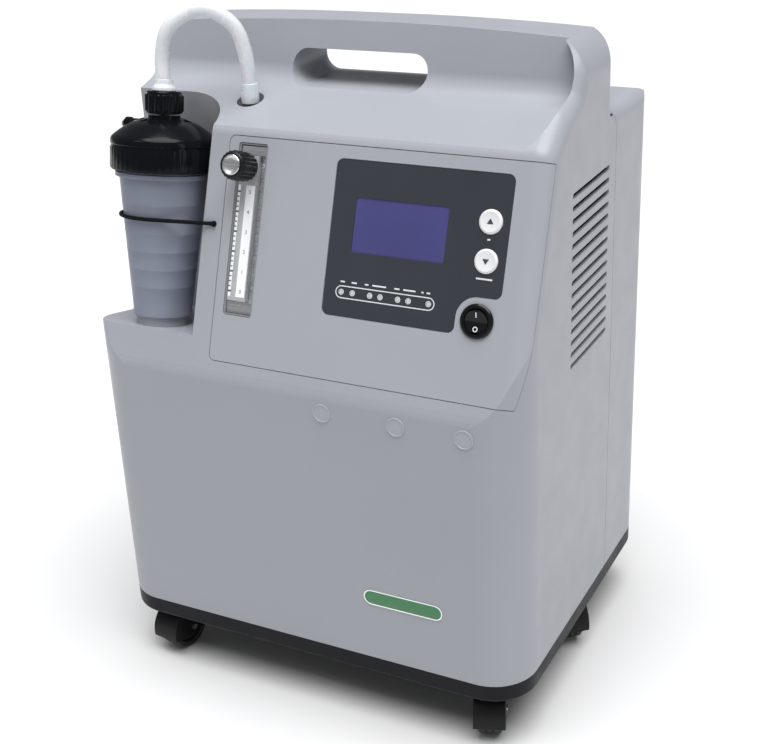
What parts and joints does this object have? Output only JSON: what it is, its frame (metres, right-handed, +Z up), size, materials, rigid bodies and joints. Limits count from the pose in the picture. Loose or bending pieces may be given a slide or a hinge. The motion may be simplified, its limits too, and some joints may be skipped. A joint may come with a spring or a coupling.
{
  "type": "oxygen concentrator",
  "caption": "Floor-standing oxygen concentrator on casters: sloped control panel, flowmeter, humidifier bottle in a corner recess, carrying slot and side vents.",
  "frame": {"origin": "on the floor, under the middle of the casing", "axes": "+Z up, -Y the front with the sloped control panel, +X the right-hand side seen from the front"},
  "size_m": [0.365, 0.2964, 0.5411],
  "materials": {
    "casing_grey": "satin moulded ABS, silver grey",
    "panel_grey": "satin moulded ABS, silver grey",
    "cover_grey": "satin moulded ABS",
    "tray_black": "black moulded plastic",
    "label_slate": "printed polycarbonate overlay, dark slate",
    "screen_blue": "backlit violet-blue screen",
    "board_green": "printed circuit board",
    "button_white": "white moulded key",
    "lamp_clear": "clear lens",
    "switch_black": "black moulded plastic",
    "housing_black": "black moulded plastic",
    "acrylic": "clear machined acrylic",
    "chrome_parts": "bright plated",
    "float_black": "black float",
    "knob_black": "black moulded knob",
    "cup_clear": "translucent moulded plastic",
    "lid_black": "glossy black moulded plastic",
    "dip_clear": "translucent tube",
    "hose_clear": "translucent soft tube",
    "outlet_black": "black nozzle",
    "strap_black": "black elastic cord",
    "screw_steel": "zinc plated",
    "caster_black": "black moulded nylon",
    "tyre_grey": "black tread",
    "axle_steel": "bright steel",
    "mount_rubber": "black rubber",
    "sheet_steel": "zinc plated sheet",
    "cast_aluminium": "as cast",
    "fan_black": "black moulded plastic",
    "copper": "drawn copper tube",
    "bed_aluminium": "drawn tube",
    "muffler_black": "black moulded plastic",
    "foam_grey": "open-cell foam",
    "inlet_black": "black moulded plastic",
    "breaker_red": "red push button",
    "supply_steel": "folded sheet case"
  },
  "bodies": {
    "casing": {"front_shell": "casing_grey", "rear_shell": "casing_grey", "control_panel": "panel_grey", "cover_plugs": "cover_grey", "base_tray": "tray_black", "panel_label": "label_slate", "lcd_window": "screen_blue", "lcd_module": "board_green", "key_board": "board_green", "main_board": "board_green", "status_leds": "lamp_clear", "switch_bezel": "switch_black", "flowmeter_housing": "housing_black", "flowmeter_block": "acrylic", "flowmeter_fittings": "chrome_parts", "humidifier_lid": "lid_black", "hub_nut": "lid_black", "dip_tube": "dip_clear", "humidifier_hose": "hose_clear", "outlet_fitting": "outlet_black", "bottle_strap": "strap_black", "casing_screws": "screw_steel", "compressor_mounts": "mount_rubber", "compressor_plate": "sheet_steel", "inner_shelf": "sheet_steel", "compressor_motor": "cast_aluminium", "compressor_heads": "cast_aluminium", "valve_block": "cast_aluminium", "fan_frame": "fan_black", "cooling_coil": "copper", "sieve_beds": "bed_aluminium", "product_tank": "bed_aluminium", "intake_muffler": "muffler_black", "filter_foam": "foam_grey", "power_inlet": "inlet_black", "breaker_body": "inlet_black", "power_supply": "supply_steel"},
    "front_left_swivel": {"caster_front_left_fork": "caster_black", "caster_front_left_axle": "axle_steel"},
    "front_left_wheel": {"caster_front_left_wheel": "tyre_grey"},
    "front_right_swivel": {"caster_front_right_fork": "caster_black", "caster_front_right_axle": "axle_steel"},
    "front_right_wheel": {"caster_front_right_wheel": "tyre_grey"},
    "rear_left_swivel": {"caster_rear_left_fork": "caster_black", "caster_rear_left_axle": "axle_steel"},
    "rear_left_wheel": {"caster_rear_left_wheel": "tyre_grey"},
    "rear_right_swivel": {"caster_rear_right_fork": "caster_black", "caster_rear_right_axle": "axle_steel"},
    "rear_right_wheel": {"caster_rear_right_wheel": "tyre_grey"},
    "button_up": {"button_up": "button_white"},
    "button_down": {"button_down": "button_white"},
    "rocker": {"switch_rocker": "switch_black"},
    "meter_knob": {"flowmeter_knob": "knob_black", "flowmeter_stem": "chrome_parts", "knob_cap": "chrome_parts"},
    "meter_float": {"flowmeter_float": "float_black"},
    "cup": {"humidifier_cup": "cup_clear"},
    "fan": {"fan_rotor": "fan_black"},
    "filter_door": {"filter_door": "casing_grey"},
    "breaker_button": {"breaker_button": "breaker_red"}
  },
  "joints": [
    {"name": "front_left_swivel", "type": "hinge", "parent": "casing", "child": "front_left_swivel", "pos_m": [-0.14, -0.106, 0.045], "axis": [0, 0, 1], "continuous": true},
    {"name": "front_left_roll", "type": "hinge", "parent": "front_left_swivel", "child": "front_left_wheel", "pos_m": [-0.14209, -0.12085, 0.02], "axis": [0.9903, -0.1392, 0], "continuous": true},
    {"name": "front_right_swivel", "type": "hinge", "parent": "casing", "child": "front_right_swivel", "pos_m": [0.142, -0.106, 0.045], "axis": [0, 0, 1], "continuous": true},
    {"name": "front_right_roll", "type": "hinge", "parent": "front_right_swivel", "child": "front_right_wheel", "pos_m": [0.14713, -0.12009, 0.02], "axis": [0.9397, 0.342, 0], "continuous": true},
    {"name": "rear_left_swivel", "type": "hinge", "parent": "casing", "child": "rear_left_swivel", "pos_m": [-0.147, 0.032, 0.045], "axis": [0, 0, 1], "continuous": true},
    {"name": "rear_left_roll", "type": "hinge", "parent": "rear_left_swivel", "child": "rear_left_wheel", "pos_m": [-0.1545, 0.01901, 0.02], "axis": [0.866, -0.5, 0], "continuous": true},
    {"name": "rear_right_swivel", "type": "hinge", "parent": "casing", "child": "rear_right_swivel", "pos_m": [0.147, 0.032, 0.045], "axis": [0, 0, 1], "continuous": true},
    {"name": "rear_right_roll", "type": "hinge", "parent": "rear_right_swivel", "child": "rear_right_wheel", "pos_m": [0.15723, 0.02103, 0.02], "axis": [0.7314, 0.682, 0], "continuous": true},
    {"name": "button_up_press", "type": "slide", "parent": "casing", "child": "button_up", "axis": [0, 0.9405, -0.3399], "range_m": [0, 0.001], "stiffness_N_per_m": 400},
    {"name": "button_down_press", "type": "slide", "parent": "casing", "child": "button_down", "axis": [0, 0.9405, -0.3399], "range_m": [0, 0.001], "stiffness_N_per_m": 400},
    {"name": "power_rocker", "type": "hinge", "parent": "casing", "child": "rocker", "pos_m": [0.1421, -0.12267, 0.34549], "axis": [1, 0, 0], "range_deg": [-16, 0]},
    {"name": "flow_knob_turn", "type": "hinge", "parent": "casing", "child": "meter_knob", "pos_m": [-0.052, -0.0937, 0.42859], "axis": [0, -0.9405, 0.3399], "range_deg": [-540, 540]},
    {"name": "float_rise", "type": "slide", "parent": "casing", "child": "meter_float", "axis": [0, 0.3399, 0.9405], "range_m": [0, 0.072]},
    {"name": "cup_unscrew", "type": "hinge", "parent": "casing", "child": "cup", "pos_m": [-0.133, -0.1105, 0.308], "axis": [0, 0.1942, 0.981], "range_deg": [0, 270]},
    {"name": "fan_spin", "type": "hinge", "parent": "casing", "child": "fan", "pos_m": [0, -0.045, 0.2], "axis": [0, 0, 1], "continuous": true},
    {"name": "filter_door_pull", "type": "slide", "parent": "casing", "child": "filter_door", "axis": [0, 1, 0], "range_m": [0, 0.03]},
    {"name": "breaker_reset", "type": "slide", "parent": "casing", "child": "breaker_button", "axis": [0, -1, 0], "range_m": [0, 0.0025], "stiffness_N_per_m": 400}
  ]
}
